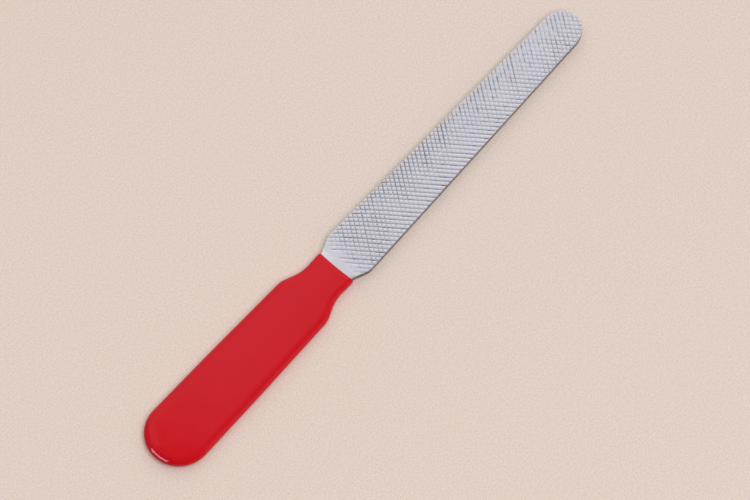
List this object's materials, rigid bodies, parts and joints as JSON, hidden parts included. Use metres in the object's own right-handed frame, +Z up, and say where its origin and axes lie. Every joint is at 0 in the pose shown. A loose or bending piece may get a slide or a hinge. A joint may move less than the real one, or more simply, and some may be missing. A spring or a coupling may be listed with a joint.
{
  "type": "flat file",
  "caption": "Flat hand file stamped from thin steel, double-cut on both faces, with a rounded tip and a dip-coated vinyl grip over its tang.",
  "frame": {"origin": "on the resting plane, under the middle of the file's length and width", "axes": "+X from the butt of the handle to the tip of the blade, +Z up out of the blade's upper face, +Y across the blade"},
  "size_m": [0.175, 0.0192, 0.0035],
  "materials": {
    "steel": "bright satin steel with cut teeth, slightly blue-grey",
    "vinyl": "smooth glossy red dipped vinyl"
  },
  "bodies": {
    "root": {"file_blank": "steel", "handle_sleeve": "vinyl"}
  },
  "joints": []
}
